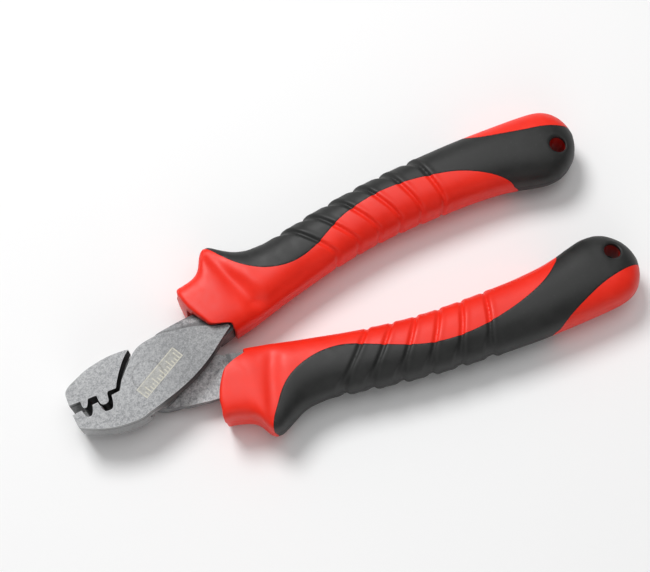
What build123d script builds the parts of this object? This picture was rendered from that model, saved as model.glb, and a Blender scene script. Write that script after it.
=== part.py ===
"""Crimp-nose lap-joint pliers with two-material grips.

Frame: origin on the pivot axis, in the lower flat face of the head.  +X runs
from the pivot toward the handles (the jaws point to -X), +Y toward half A's
handle, +Z up along the rivet.  The pieces are drawn about the lap plane of
the two halves and lifted by half the head thickness at the end.  Everything
stands in the open rest pose; the jaws shut when half B turns by +7.35 degrees
about +Z.  All lengths in millimetres.

Half B and its grip are drawn in half A's pose, jaw at -X -Y and handle at
+X +Y, then flipped about X.
"""
from build123d import *
import math
import os

os.makedirs("parts", exist_ok=True)

# ----------------------------------------------------------------- dimensions
HEAD_T = 10.0          # thickness of the head, flat face to flat face
HALF_T = HEAD_T / 2
LAP_GAP = 0.03         # each half stands this far off the lap plane
LAP_R = 8.2            # radius of the rubbing lap disc
RELIEF = 1.3           # how far the shanks are set back from the lap plane
RELIEF_X = -3.2        # the set-back starts here, outside the lap disc

BEVEL = 2.6            # bevel along the lower outer flank of each jaw
BEVEL_OVER = 0.5       # the bevel cut runs this far past the flat face
BEVEL_OUTSET = 0.02    # and starts this far outside the outline
BEVEL_STEPS = 24

RIVET_R = 3.4          # rivet shaft
RIVET_HEAD_R = 4.0     # flush rivet head
RIVET_HEAD_T = 1.3
RUN_FIT = 0.04         # radial running clearance of half B on the rivet
SINK_FIT = 0.09        # radial clearance at the mouth of half B's countersink
SINK_EXTRA = 0.05      # extra depth of that countersink
BORE_L = 4 * HALF_T    # length of cutters that pass right through the head

TANG_Z = 3.2           # half thickness of the tang inside the grip
SHANK_TOP = 4.4        # outer face of the shank next to the boss
SHANK_FALL = 18.0      # degrees the shank's outer face falls away from the boss
FALL_DIR = (0.22, 0.975)       # direction of that fall in plan

HOLE_X, HOLE_Y = 122.9, 16.5   # hanging hole in each grip
HOLE_R = 2.2
SKIN = 1.4             # thickness of the soft black moulding
GROOVE_DEPTH = 0.8     # finger grooves
GROOVE_W = 1.1
GROOVE_LEAN = 0.26     # X per Z: the grooves lean back on the near side
GROOVE_OVERRUN = 8.0   # extra length of the groove cutter, both ends together

# half heights of the cutters, all clear of the grip
GROOVE_REACH = 12
COLLAR_REACH = 12
SPLIT_REACH = 14

ON_BASE = (Align.CENTER, Align.CENTER, Align.MIN)
FLIP = Rot(180, 0, 0)

# --------------------------------------------------------- jaw mating profiles
# each runs from the nose to the end of the rear land, jaw body below (-Y)
NOSE_X = -21.3


def land_a(x):
    """Y of the flat lands of the pocketed jaw (half A)."""
    return -0.2 + math.tan(math.radians(5.75)) * x


def land_b(x):
    """Y of the flat lands of the toothed jaw (half B)."""
    return 0.2 + math.tan(math.radians(1.6)) * x


def pocket(start, end, floor_start, floor_end, floor_y):
    """U shaped pocket between two X places on half A's land."""
    return [(start, land_a(start)),
            (start + 0.12, land_a(start) - 0.55),
            (floor_start - 0.25, floor_y + 0.75),
            (floor_start + 0.18, floor_y + 0.18),
            ((floor_start + floor_end) / 2, floor_y),
            (floor_end - 0.18, floor_y + 0.18),
            (floor_end + 0.25, floor_y + 0.85),
            (end - 0.10, land_a(end) - 0.6),
            (end, land_a(end))]


def tooth(start, end, tip_x, tip_y, tip_w):
    """Rounded tooth between two X places on half B's land."""
    return [(start, land_b(start)),
            (start + 0.10, land_b(start) + 0.75),
            (tip_x - tip_w, tip_y - 0.38),
            (tip_x - tip_w * 0.45, tip_y - 0.05),
            (tip_x + tip_w * 0.25, tip_y - 0.03),
            (tip_x + tip_w * 0.9, tip_y - 0.42),
            (end - 0.45, land_b(end) + 0.8),
            (end, land_b(end))]


POCKETS = (pocket(-18.72, -15.72, -18.05, -16.45, -4.36),
           pocket(-14.22, -10.25, -13.30, -11.05, -4.76))
TEETH = (tooth(-18.33, -16.10, -17.50, 1.80, 0.62),
         tooth(-13.98, -10.82, -12.50, 2.82, 0.98))

# ------------------------------------------------- forged outlines, all (x, y)
# outer outline of each jaw, nose to heel
A_OUTER = [(-21.08, -4.5), (-20.6, -6.0), (-19.0, -6.95), (-17.0, -7.9),
           (-15.0, -8.7), (-13.0, -9.25), (-11.0, -9.65), (-8.0, -9.93),
           (-5.2, -9.88), (-3.0, -9.25)]
A_HEEL = (-0.8, -8.0)  # the bevel of half A runs out past the heel
B_OUTER = [(-21.25, -3.0), (-21.0, -3.95), (-17.76, -6.11), (-14.55, -7.47),
           (-11.55, -8.2), (-8.64, -8.66), (-6.42, -8.76), (-4.5, -8.7),
           (-3.0, -8.6)]

# bevel width along each jaw: (x, width)
A_BEVEL_WIDTH = [(-21.3, 0.5), (-19.5, 1.5), (-17, BEVEL), (-3.0, BEVEL)]
B_BEVEL_WIDTH = [(-21.3, 0.5), (-19.5, 1.5), (-17, BEVEL), (-6, BEVEL), (-3.0, 0.3)]

# lap boss: edge next to the other jaw, then the handle side
BOSS_LAND_END = -7.94  # X where the land meets the boss
BOSS_GAP = [(-6.55, 1.45), (-4.85, 3.44), (-3.4, 5.05), (-1.55, 7.0)]
BOSS_UPPER = [(-1.55, 7.0), (1.04, 8.4), (3.98, 8.95), (7.07, 9.1),
              (10.18, 8.5), (13.04, 8.1), (16.04, 7.45), (19.8, 5.9),
              (24.0, 4.7)]
BOSS_LOWER = [(24.3, 4.0), (20.4, 1.2), (16.79, -1.49), (10.55, -4.98),
              (4.83, -7.14), (1.5, -8.1)]
FALL_START = BOSS_UPPER[5]
# heel of each jaw behind the other half's boss
HEEL_LAND_END = -8.67
JAW_HEEL = [(-7.77, -1.83), (-6.29, -4.07), (-4.87, -5.92), (-3.49, -7.41),
            (-2.25, -8.35)]

SHANK_CURVE = [(3.6, 7.0), (5.2, 9.25), (8.2, 10.1), (12.0, 10.75),
               (16.0, 11.25), (19.5, 11.8), (24.0, 13.4), (29.0, 14.9)]
SHANK_CORNERS = [(29.0, 8.0), (24.0, 5.0), (16.0, 5.0)]
TANG_IN = [(20.3, 2.1), (25.0, 3.5), (32.0, 7.0), (40.0, 10.2), (60.0, 14.9),
           (80.0, 17.3), (98.0, 18.0), (106.0, 18.4)]
TANG_OUT = [(106.0, 21.9), (98.0, 22.6), (80.0, 23.2), (60.0, 21.6),
            (40.0, 17.7), (29.0, 14.9), (20.2, 11.9)]

# ------------------------------------------------------------- grip envelope
# (x, y) of the outer (+Y) and inner (-Y) edges of the grip
GRIP_OUT = [(13.8, 18.9), (17.0, 19.35), (19.5, 20.0), (21.2, 21.0),
            (22.4, 22.6), (23.4, 24.8), (24.4, 26.3), (25.4, 27.0),
            (26.4, 27.05), (27.4, 26.7), (28.6, 25.85), (30.2, 24.75),
            (32.2, 23.6), (34.2, 22.9), (36.5, 22.55), (40.0, 22.6),
            (45.0, 23.4), (50.0, 24.4), (55.0, 25.4), (60.0, 26.2),
            (65.0, 27.0), (70.0, 27.65), (75.0, 28.2), (80.0, 28.6),
            (85.0, 29.0), (90.0, 29.3), (100.0, 29.6), (110.0, 29.5),
            (117.0, 29.3), (120.0, 29.1), (122.8, 28.6), (125.2, 27.4),
            (127.0, 25.6), (128.3, 23.3), (129.0, 20.9)]
GRIP_IN = [(13.8, 2.0), (20.0, 2.2), (25.0, 2.45), (30.0, 3.3), (35.0, 4.6),
           (40.0, 5.95), (45.0, 7.2), (50.0, 8.4), (55.0, 9.5), (60.0, 10.4),
           (65.0, 11.2), (70.0, 11.8), (75.0, 12.2), (80.0, 12.4),
           (85.0, 12.5), (90.0, 12.5), (95.0, 12.5), (100.0, 12.3),
           (105.0, 11.9), (110.0, 11.0), (114.0, 10.0), (118.0, 9.35),
           (120.5, 9.5), (123.0, 10.3), (125.2, 11.8), (127.0, 13.7),
           (128.3, 16.0), (129.0, 18.3)]
# (x, half thickness along Z)
GRIP_HALF_Z = [(13.8, 6.9), (19.0, 7.1), (24.0, 7.1), (28.0, 6.75),
               (31.0, 7.0), (34.0, 7.2), (40.0, 7.1), (50.0, 7.1),
               (60.0, 7.2), (75.0, 7.3), (90.0, 7.3), (105.0, 7.4),
               (114.0, 7.4), (119.0, 7.3), (122.8, 6.9), (125.2, 6.1),
               (127.0, 4.9), (128.3, 3.2), (129.0, 1.5)]
# (x, superellipse power of the section; 2 is an ellipse, more is boxier)
GRIP_POWER = [(13.8, 4.6), (24.0, 4.2), (30.0, 3.2), (40.0, 2.5),
              (60.0, 2.35), (100.0, 2.35), (120.0, 2.45), (129.0, 2.2)]
# X of the lofted sections
STATIONS = [13.8, 16.5, 19.2, 21.0, 22.2, 23.2, 24.2, 25.2, 26.3, 27.6, 29.2,
            31.2, 33.6, 37.0, 41.5, 47.0, 54.0, 62.0, 70.0, 78.0, 86.0, 94.0,
            102.0, 108.0, 113.0, 117.0, 120.0, 122.8, 125.2, 127.0, 128.3,
            129.0]
INSET_END = 124.5      # inset envelopes stop before this X
SECTION_POINTS = 24

# colour split seen along Z, (x, y): the black moulding lies between the INNER
# and OUTER lines.  NEAR (+Z) is the side of the grip where its own forged half
# stands in the lap, FAR (-Z) the other.
SPLIT_INNER_NEAR = [
    (26.3, 28.6), (27.4, 25.2), (29.0, 22.4), (31.0, 19.9), (33.0, 17.9),
    (35.0, 16.4), (38.0, 14.7), (41.0, 13.7), (45.0, 13.2), (48.0, 13.5),
    (51.0, 14.3), (54.0, 15.5), (57.0, 17.1), (60.0, 18.7), (63.0, 19.95),
    (66.0, 20.8), (72.0, 22.0), (80.0, 22.25), (88.0, 21.25), (95.0, 19.6),
    (101.0, 16.9), (104.0, 15.1), (106.5, 13.2), (108.6, 11.0), (109.4, 8.5)]
SPLIT_INNER_FAR = [
    (25.1, 28.6), (25.6, 25.6), (26.3, 23.1), (27.6, 20.6), (29.3, 18.3),
    (31.3, 16.25), (33.8, 14.55), (36.3, 13.45), (39.3, 12.65), (42.3, 12.25),
    (45.3, 12.25), (48.3, 12.65), (51.3, 13.65), (54.3, 15.05), (60.3, 17.85),
    (66.0, 20.25), (70.0, 21.45), (74.0, 22.15), (82.0, 22.35), (90.0, 21.25),
    (98.0, 19.15), (102.0, 17.6), (105.0, 15.9), (107.2, 14.2), (109.2, 12.2),
    (110.2, 8.5)]
SPLIT_OUTER_NEAR = [
    (100.0, 31.0), (101.5, 28.6), (104.0, 27.0), (107.0, 26.0), (110.0, 25.2),
    (116.0, 23.8), (122.0, 22.6), (126.0, 21.4), (130.5, 20.2)]
SPLIT_OUTER_FAR = [
    (97.2, 33.0), (100.0, 30.6), (103.0, 29.35), (106.0, 27.9), (109.0, 26.6),
    (112.0, 25.4), (115.0, 24.25), (118.0, 23.35), (121.0, 22.7),
    (126.0, 22.0), (130.5, 21.7)]
# bounds of the split zone, all clear of the grip
ZONE_Y_MIN, ZONE_Y_MAX, ZONE_X_MAX = 2, 34, 135

# finger grooves: (x, y) of the outer end, (x, y) of the inner end
GROOVES = [((45.5, 23.2), (56.7, 10.0)), ((52.7, 24.6), (63.1, 11.0)),
           ((60.5, 26.0), (69.4, 11.8)), ((68.4, 27.3), (75.6, 12.3)),
           ((76.2, 28.2), (81.6, 12.5)), ((84.2, 28.9), (87.9, 12.5))]

# collar front, (x, y), on the near and far sides; the material before it goes
COLLAR_CLEAR = [(5, -5), (5, 30)]
FRONT_NEAR = [(14.8, 30.0), (14.8, 18.2), (15.1, 16.0), (15.8, 13.2),
              (17.0, 10.6), (18.8, 7.4), (19.5, 6.1), (24.9, 4.0), (24.9, -5)]
FRONT_FAR = [(14.5, 30.0), (14.5, 18.6), (14.6, 14.4), (15.3, 12.0),
             (17.8, 7.4), (18.5, 6.5), (20.7, 5.4), (24.8, 4.0), (24.7, -5)]


# --------------------------------------------------------------------- helpers
def interpolate(table, x):
    """Monotone cubic through (x, value) pairs, held level past both ends."""
    if x <= table[0][0]:
        return table[0][1]
    if x >= table[-1][0]:
        return table[-1][1]
    count = len(table)
    step = [table[i + 1][0] - table[i][0] for i in range(count - 1)]
    slope = [(table[i + 1][1] - table[i][1]) / step[i] for i in range(count - 1)]
    tangent = [slope[0]]
    for i in range(1, count - 1):
        if slope[i - 1] * slope[i] <= 0:
            tangent.append(0.0)
        else:
            before = 2 * step[i] + step[i - 1]
            after = step[i] + 2 * step[i - 1]
            tangent.append((before + after) / (before / slope[i - 1] + after / slope[i]))
    tangent.append(slope[-1])
    i = next(k for k in range(count - 1) if x <= table[k + 1][0])
    t = (x - table[i][0]) / step[i]
    return ((1 + 2 * t) * (1 - t) ** 2 * table[i][1]
            + t * (1 - t) ** 2 * step[i] * tangent[i]
            + t * t * (3 - 2 * t) * table[i + 1][1]
            + t * t * (t - 1) * step[i] * tangent[i + 1])


def outline(*pieces):
    """Closed outline: a list of points is a spline, a lone point a corner.

    Straight lines join whatever does not already meet.
    """
    edges = []
    first = last = None
    for piece in pieces:
        points = piece if isinstance(piece, list) else [piece]
        if first is None:
            first = points[0]
        elif math.dist(last, points[0]) > 1e-6:
            edges.append(Line(last, points[0]))
        if len(points) > 1:
            edges.append(Spline(*points))
        last = points[-1]
    if math.dist(last, first) > 1e-6:
        edges.append(Line(last, first))
    return edges


def plate(edges, z0, z1):
    """Straight-sided plate over a closed outline."""
    return Pos(0, 0, z0) * extrude(make_face(edges), amount=z1 - z0, dir=(0, 0, 1))


def polygon_plate(points, z0, z1):
    return plate(Polyline(*points, close=True), z0, z1)


# ---------------------------------------------------------------- forged halves
def bevel(solid, outer, side, widths):
    """Bevel the outer flank of a jaw on its upper (side 1) or lower (-1) face."""
    curve = Spline(*outer)
    flank_ring, face_ring = [], []
    for k in range(BEVEL_STEPS + 1):
        t = k / BEVEL_STEPS
        point, along = curve.position_at(t), curve.tangent_at(t)
        inward_x, inward_y = -along.Y, along.X       # for nose -> heel
        reach = interpolate(widths, point.X) * (BEVEL + BEVEL_OVER) / BEVEL
        flank_ring.append((point.X - BEVEL_OUTSET * inward_x,
                           point.Y - BEVEL_OUTSET * inward_y))
        face_ring.append((point.X + reach * inward_x, point.Y + reach * inward_y))
    # both rings close round the same three corners, well outside the jaw
    nose, heel = flank_ring[0], flank_ring[-1]
    away = [(heel[0] + 4, heel[1] - 8),
            (nose[0] - 6, nose[1] - 14),
            (nose[0] - 6, nose[1] + 0.5)]
    z_face = side * HALF_T
    rings = []
    for ring, z in ((flank_ring, z_face - side * BEVEL),
                    (face_ring, z_face + side * BEVEL_OVER)):
        curved = [Vector(x, y, z) for x, y in ring]
        corners = [Vector(x, y, z) for x, y in away]
        path = [curved[-1], *corners, curved[0]]
        rings.append(Wire([Edge.make_spline(curved)]
                          + [Edge.make_line(a, b) for a, b in zip(path, path[1:])]))
    return solid - Solid.make_loft(rings, ruled=True)


def jaw_edge(land, bites, x_end):
    """Mating edge from the nose to the rear land."""
    return [(NOSE_X, land(NOSE_X)), *bites, (x_end, land(x_end))]


def jaw_and_boss(land, bites, outer):
    """Upper layer: jaw and lap boss in one outline."""
    nose = outer[::-1]
    return plate(outline(*jaw_edge(land, bites, BOSS_LAND_END), BOSS_GAP, BOSS_UPPER,
                         BOSS_LOWER + [nose[0]], nose),
                 LAP_GAP, HALF_T)


def jaw_only(land, bites, outer):
    """Lower layer: only the jaw."""
    return plate(outline(*jaw_edge(land, bites, HEEL_LAND_END), JAW_HEEL, outer[::-1]),
                 -HALF_T, LAP_GAP)


def set_back(upper):
    """Set everything behind the lap disc back from the lap plane."""
    behind = polygon_plate([(RELIEF_X, -14), (40, -14), (40, 20), (RELIEF_X, 20)],
                           -HALF_T - 1, RELIEF)
    return upper - (behind - Cylinder(LAP_R, BORE_L))


def make_shank():
    shank = plate(outline(SHANK_CURVE, *SHANK_CORNERS), RELIEF, SHANK_TOP)
    fall = math.radians(SHANK_FALL)
    sloping_face = Plane(
        origin=(*FALL_START, SHANK_TOP),
        z_dir=(FALL_DIR[0] * math.sin(fall), FALL_DIR[1] * math.sin(fall), math.cos(fall)))
    return shank - sloping_face * Box(80, 80, 12, align=ON_BASE)


def join_half(upper, lower):
    tang = plate(outline(TANG_IN, TANG_OUT), -TANG_Z, TANG_Z)
    return set_back(upper) + lower + make_shank() + tang


def make_half_a():
    """Pocketed half, pressed on the rivet, counterbored for its flat head."""
    shape = (land_a, POCKETS, A_OUTER)
    lower = bevel(jaw_only(*shape), A_OUTER + [A_HEEL], -1, A_BEVEL_WIDTH)
    half = join_half(jaw_and_boss(*shape), lower)
    half = half - Cylinder(RIVET_R, BORE_L)
    half = half - Pos(0, 0, HALF_T - RIVET_HEAD_T) * Cylinder(
        RIVET_HEAD_R, BORE_L, align=ON_BASE)
    return half.solid()


def make_half_b():
    """Toothed half, running free on the rivet and countersunk for its cone."""
    shape = (land_b, TEETH, B_OUTER)
    upper = bevel(jaw_and_boss(*shape), B_OUTER, 1, B_BEVEL_WIDTH)
    half = join_half(upper, jaw_only(*shape))
    bore_r = RIVET_R + RUN_FIT
    sink_depth = RIVET_HEAD_T + SINK_EXTRA
    half = half - Cylinder(bore_r, BORE_L)
    half = half - Pos(0, 0, HALF_T - sink_depth) * Cone(
        bore_r, RIVET_HEAD_R + SINK_FIT, sink_depth, align=ON_BASE)
    return FLIP * half.solid()


# ------------------------------------------------------------------------ rivet
def make_rivet():
    """Shaft with a flat head on top and a conical head below."""
    shaft = Pos(0, 0, -HALF_T) * Cylinder(RIVET_R, HEAD_T, align=ON_BASE)
    head = Pos(0, 0, HALF_T - RIVET_HEAD_T) * Cylinder(
        RIVET_HEAD_R, RIVET_HEAD_T, align=ON_BASE)
    cone = Pos(0, 0, -HALF_T) * Cone(RIVET_HEAD_R, RIVET_R, RIVET_HEAD_T, align=ON_BASE)
    return (shaft + head + cone).solid()


# ------------------------------------------------------------------------ grips
def grip_section(x, grow):
    """Superellipse section of the grip, grown by the given amount."""
    y0 = interpolate(GRIP_IN, x) - grow
    y1 = interpolate(GRIP_OUT, x) + grow
    half_y = (y1 - y0) / 2
    half_z = interpolate(GRIP_HALF_Z, x) + grow
    exponent = 2 / interpolate(GRIP_POWER, x)
    points = []
    for i in range(SECTION_POINTS):
        angle = 2 * math.pi * i / SECTION_POINTS
        c, s = math.cos(angle), math.sin(angle)
        points.append(Vector(x,
                             (y0 + y1) / 2 + half_y * math.copysign(abs(c) ** exponent, c),
                             half_z * math.copysign(abs(s) ** exponent, s)))
    return Wire([Edge.make_spline(points, periodic=True)])


def envelope(grow=0.0):
    """Loft of the whole grip; an inset one stops short of the rounded end."""
    stations = [x for x in STATIONS if grow >= 0 or x < INSET_END]
    return Solid.make_loft([grip_section(x, grow) for x in stations], ruled=False)


def cut_grooves(grip):
    core = envelope(-GROOVE_DEPTH)
    for (x_out, y_out), (x_in, y_in) in GROOVES:
        dx, dy = x_out - x_in, y_out - y_in
        strip = (Pos((x_out + x_in) / 2, (y_out + y_in) / 2, 0)
                 * Rot(0, 0, math.degrees(math.atan2(dy, dx)))
                 * Rectangle(math.hypot(dx, dy) + GROOVE_OVERRUN, GROOVE_W)).face()
        slab = (extrude(strip, amount=GROOVE_REACH, dir=(GROOVE_LEAN, 0, 1))
                + extrude(strip, amount=GROOVE_REACH, dir=(0, 0, -1)))
        grip = grip - (slab - core)
    return grip


def grip_body():
    """Whole grip with its grooves, collar front and hanging hole."""
    grip = cut_grooves(envelope())
    near = polygon_plate(COLLAR_CLEAR + FRONT_NEAR, 0, COLLAR_REACH)
    far = polygon_plate(COLLAR_CLEAR + FRONT_FAR, -COLLAR_REACH, 0)
    grip = grip - near - far
    return grip - Pos(HOLE_X, HOLE_Y, 0) * Cylinder(HOLE_R, 40)


def split_zone(inner, outer, z0, z1):
    """Plate between the two colour split lines."""
    return plate(outline(inner, (inner[-1][0], ZONE_Y_MIN), (ZONE_X_MAX, ZONE_Y_MIN),
                         (ZONE_X_MAX, outer[-1][1]), outer[::-1],
                         (outer[0][0], ZONE_Y_MAX), (inner[0][0], ZONE_Y_MAX)),
                 z0, z1)


def largest_solid(shape):
    return max(shape.solids(), key=lambda solid: solid.volume)


def make_grip(half):
    """Core and soft skin of the grip round half A's tang."""
    grip = grip_body()
    skin_zone = (split_zone(SPLIT_INNER_NEAR, SPLIT_OUTER_NEAR, 0, SPLIT_REACH)
                 + split_zone(SPLIT_INNER_FAR, SPLIT_OUTER_FAR, -SPLIT_REACH, 0)
                 ) - envelope(-SKIN)
    skin = grip & skin_zone
    core = grip - skin_zone
    core = core - half
    return largest_solid(core), largest_solid(skin)


# --------------------------------------------------------------------- assembly
half_a = make_half_a()
grip_core, grip_skin = make_grip(half_a)

nodes = {
    "forged_half_a": half_a,
    "forged_half_b": make_half_b(),
    "pivot_rivet": make_rivet(),
    "grip_core_a": grip_core,
    "grip_skin_a": grip_skin,
    "grip_core_b": FLIP * grip_core,
    "grip_skin_b": FLIP * grip_skin,
}
for name, shape in nodes.items():
    export_step(Pos(0, 0, HALF_T) * shape, f"parts/{name}.step")
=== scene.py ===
"""Hand tool with two forged steel halves joined by a rivet, each with a two-part moulded grip.

The rivet is on the Z axis, the jaws point to -X and the grips run to +X. Half A's
grip lies at +Y and half B's at -Y; the halves meet on a plane parallel to XY. Both
grips come from one drawing, made for half A about its mid plane: "outer" is its +Y
side, "inner" its -Y side, "top" +Z, "front" -X. Half B's is turned over about X.
"""

import math
from types import SimpleNamespace

import bmesh
import bpy
import numpy as np
from mathutils import Matrix, Vector


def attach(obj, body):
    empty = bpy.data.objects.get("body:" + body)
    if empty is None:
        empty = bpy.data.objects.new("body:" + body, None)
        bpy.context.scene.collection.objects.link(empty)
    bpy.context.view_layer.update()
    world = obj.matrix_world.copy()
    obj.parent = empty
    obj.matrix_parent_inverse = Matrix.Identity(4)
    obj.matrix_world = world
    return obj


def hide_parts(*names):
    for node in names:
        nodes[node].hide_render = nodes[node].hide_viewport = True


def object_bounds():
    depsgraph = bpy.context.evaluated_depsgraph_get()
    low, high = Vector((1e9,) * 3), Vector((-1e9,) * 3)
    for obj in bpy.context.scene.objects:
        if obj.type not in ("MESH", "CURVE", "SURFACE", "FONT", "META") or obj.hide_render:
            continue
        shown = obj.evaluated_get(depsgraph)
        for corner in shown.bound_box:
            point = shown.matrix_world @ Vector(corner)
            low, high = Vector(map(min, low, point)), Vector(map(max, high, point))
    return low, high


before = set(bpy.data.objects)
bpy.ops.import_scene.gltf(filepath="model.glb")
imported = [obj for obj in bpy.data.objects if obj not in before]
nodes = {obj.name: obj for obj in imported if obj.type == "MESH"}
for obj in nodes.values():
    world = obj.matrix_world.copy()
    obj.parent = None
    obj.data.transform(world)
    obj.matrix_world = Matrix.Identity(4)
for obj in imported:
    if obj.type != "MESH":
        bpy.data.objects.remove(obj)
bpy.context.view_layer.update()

# ---------------------------------------------------------------- dimensions, mm
MM = 0.001                      # metres in a millimetre
LAP_Z = 5.0                     # height of the plane where the halves meet
SKIN_THICKNESS = 1.4            # soft moulding
SKIN_EDGE_SINK = 0.11           # how far the soft moulding's edge lies below the surface
HOLE_X, HOLE_Y, HOLE_RADIUS = 122.9, 16.5, 2.2      # hanging hole
GRIP_END = 129.0                # last full section of the grip
END_BULGE = 0.22                # the closing cap bulges this far past it
COLLAR_ROUNDING = 0.7           # front edge of the collar
BLEND_X = 33.0                  # slanted rows of points become square to X here
SECTION_STEP = 0.1              # spacing of the tabulated sections
QUARTER_POINTS = 38             # points in each quarter of a section
RING_POINTS = 4 * QUARTER_POINTS
SHARP_ANGLE = math.radians(38)  # edges that bend more than this are sharp

# ------------------------------------------------------------------- grip tables
# (x, y) of the outer and inner edges of the grip
OUTER_EDGE = [
    (13.8, 18.9), (17.0, 19.35), (19.5, 20.0), (21.2, 21.0), (22.4, 22.6),
    (23.4, 24.8), (24.4, 26.3), (25.4, 27.0), (26.4, 27.05), (27.4, 26.7),
    (28.6, 25.85), (30.2, 24.75), (32.2, 23.6), (34.2, 22.9),
    (36.5, 22.55), (40.0, 22.6), (45.0, 23.4), (50.0, 24.4),
    (55.0, 25.4), (60.0, 26.2), (65.0, 27.0), (70.0, 27.65),
    (75.0, 28.2), (80.0, 28.6), (85.0, 29.0), (90.0, 29.3),
    (100.0, 29.6), (110.0, 29.5), (117.0, 29.3), (120.0, 29.1),
    (122.8, 28.6), (125.2, 27.4), (127.0, 25.6), (128.3, 23.3), (129.0, 20.9)]
INNER_EDGE = [
    (13.8, 2.0), (20.0, 2.2), (25.0, 2.45), (30.0, 3.3), (35.0, 4.6),
    (40.0, 5.95), (45.0, 7.2), (50.0, 8.4), (55.0, 9.5), (60.0, 10.4),
    (65.0, 11.2), (70.0, 11.8), (75.0, 12.2), (80.0, 12.4), (85.0, 12.5),
    (90.0, 12.5), (95.0, 12.5), (100.0, 12.3), (105.0, 11.9),
    (110.0, 11.0), (114.0, 10.0), (118.0, 9.35), (120.5, 9.5),
    (123.0, 10.3), (125.2, 11.8), (127.0, 13.7), (128.3, 16.0), (129.0, 18.3)]
# (x, half the thickness along z)
HALF_THICKNESS = [
    (13.8, 6.9), (19.0, 7.1), (24.0, 7.1), (28.0, 6.9), (31.0, 7.0),
    (34.0, 7.15), (40.0, 7.1), (50.0, 7.1), (60.0, 7.2), (75.0, 7.3),
    (90.0, 7.3), (105.0, 7.4), (114.0, 7.4), (119.0, 7.3), (122.8, 6.9),
    (125.2, 6.1), (127.0, 4.9), (128.3, 3.2), (129.0, 1.5)]
# (x, superellipse exponent of the section); 2 is an ellipse, more is squarer
SQUARENESS = [
    (13.8, 4.6), (24.0, 4.2), (30.0, 3.2), (40.0, 2.5), (60.0, 2.35),
    (100.0, 2.35), (120.0, 2.45), (129.0, 2.2)]
# (x, y) where the soft skin begins, along its front and inner side
SKIN_START_TOP = [
    (24.0, 29.4), (25.3, 27.3), (27.0, 25.2), (29.0, 22.4), (31.0, 19.9), (33.0, 17.9),
    (35.0, 16.4), (38.0, 14.7), (41.0, 13.7), (45.0, 13.2), (48.0, 13.5),
    (51.0, 14.3), (54.0, 15.5), (57.0, 17.1), (60.0, 18.7), (63.0, 19.95),
    (66.0, 20.8), (72.0, 22.0), (80.0, 22.25), (88.0, 21.25),
    (95.0, 19.6), (101.0, 16.9), (104.0, 15.1), (106.5, 13.2),
    (108.6, 11.0), (109.4, 8.5)]
SKIN_START_BOTTOM = [
    (24.4, 28.6), (25.0, 25.6), (26.0, 23.1), (27.6, 20.6), (29.3, 18.3),
    (31.3, 16.25), (33.8, 14.55), (36.3, 13.45), (39.3, 12.65),
    (42.3, 12.25), (45.3, 12.25), (48.3, 12.65), (51.3, 13.65),
    (54.3, 15.05), (60.3, 17.85), (66.0, 20.25), (70.0, 21.45),
    (74.0, 22.15), (82.0, 22.35), (90.0, 21.25), (98.0, 19.15),
    (102.0, 17.6), (105.0, 15.9), (107.2, 14.2), (109.2, 12.2), (110.2, 8.5)]
# (x, y) where it stops, on the outer side towards the end of the grip
SKIN_STOP_TOP = [
    (100.0, 31.0), (101.5, 28.6), (104.0, 27.0), (107.0, 26.0),
    (110.0, 25.2), (116.0, 23.8), (122.0, 22.6), (126.0, 21.4), (130.5, 20.2)]
SKIN_STOP_BOTTOM = [
    (97.2, 33.0), (100.0, 30.6), (103.0, 29.35), (106.0, 27.9),
    (109.0, 26.6), (112.0, 25.4), (115.0, 24.25), (118.0, 23.35),
    (121.0, 22.7), (126.0, 22.0), (130.5, 21.7)]
# (y, x) of the collar's front edge
COLLAR_FRONT_TOP = [
    (1.0, 24.9), (4.0, 24.9), (6.1, 19.5), (7.4, 18.8), (10.6, 17.0),
    (13.2, 15.8), (16.0, 15.1), (18.2, 14.8), (30.0, 14.8)]
COLLAR_FRONT_BOTTOM = [
    (1.0, 24.8), (4.0, 24.8), (5.4, 20.7), (6.5, 18.5), (7.4, 17.8),
    (12.0, 15.3), (14.4, 14.6), (17.0, 14.45), (18.6, 14.3), (30.0, 14.3)]
# x of each finger groove at the (outer, inner) side
GROOVES = [(45.0, 56.7), (52.1, 63.1), (59.9, 69.4), (67.6, 75.6), (75.6, 81.6), (83.9, 87.9)]
# groove sizes on the (flat sides, outer edge, inner edge)
GROOVE_REAR_WALL = (0.62, 0.97, 0.85)
GROOVE_FLOOR = (0.45, 1.35, 0.12)
GROOVE_FRONT_WALL = (0.75, 1.60, 0.85)
GROOVE_DEPTH = (0.56, 0.62, 0.40)

# (x, y) outlines of the space inside the grip for the steel
TANG_GAP = 0.06
TANG_HALF_Z = 3.2
TANG_IN = [(20.3, 2.1), (25.0, 3.5), (32.0, 7.0), (40.0, 10.2), (60.0, 14.9),
           (80.0, 17.3), (98.0, 18.0), (106.0, 18.4)]
TANG_OUT = [(106.0, 21.9), (98.0, 22.6), (80.0, 23.2), (60.0, 21.6),
            (40.0, 17.7), (29.0, 14.9), (20.2, 11.9)]
SHANK = [(10, 2.2), (24.3, 2.6), (24.9, 3.6), (30, 6.5), (30.1, 15.1), (24.0, 13.46),
         (19.5, 11.87), (16.0, 11.32), (10, 10.6)]
SHANK_Z = (1.2, 5.0 + TANG_GAP)
MOUTH = [(13.0, 1.0), (20.0, 1.55), (25.0, 3.0), (27.4, 4.2), (27.4, 13.2), (13.0, 13.0)]
MOUTH_HALF_Z = 3.65

# sideways set of each placed grip: (x, shift in y)
BEND_A = [(0, 0), (62, 0), (95, -0.22), (130, -0.38)]
BEND_B = [(0, 0), (28, 0), (45, 0.30), (70, 0.30), (100, 0), (130, -0.15)]
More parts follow.
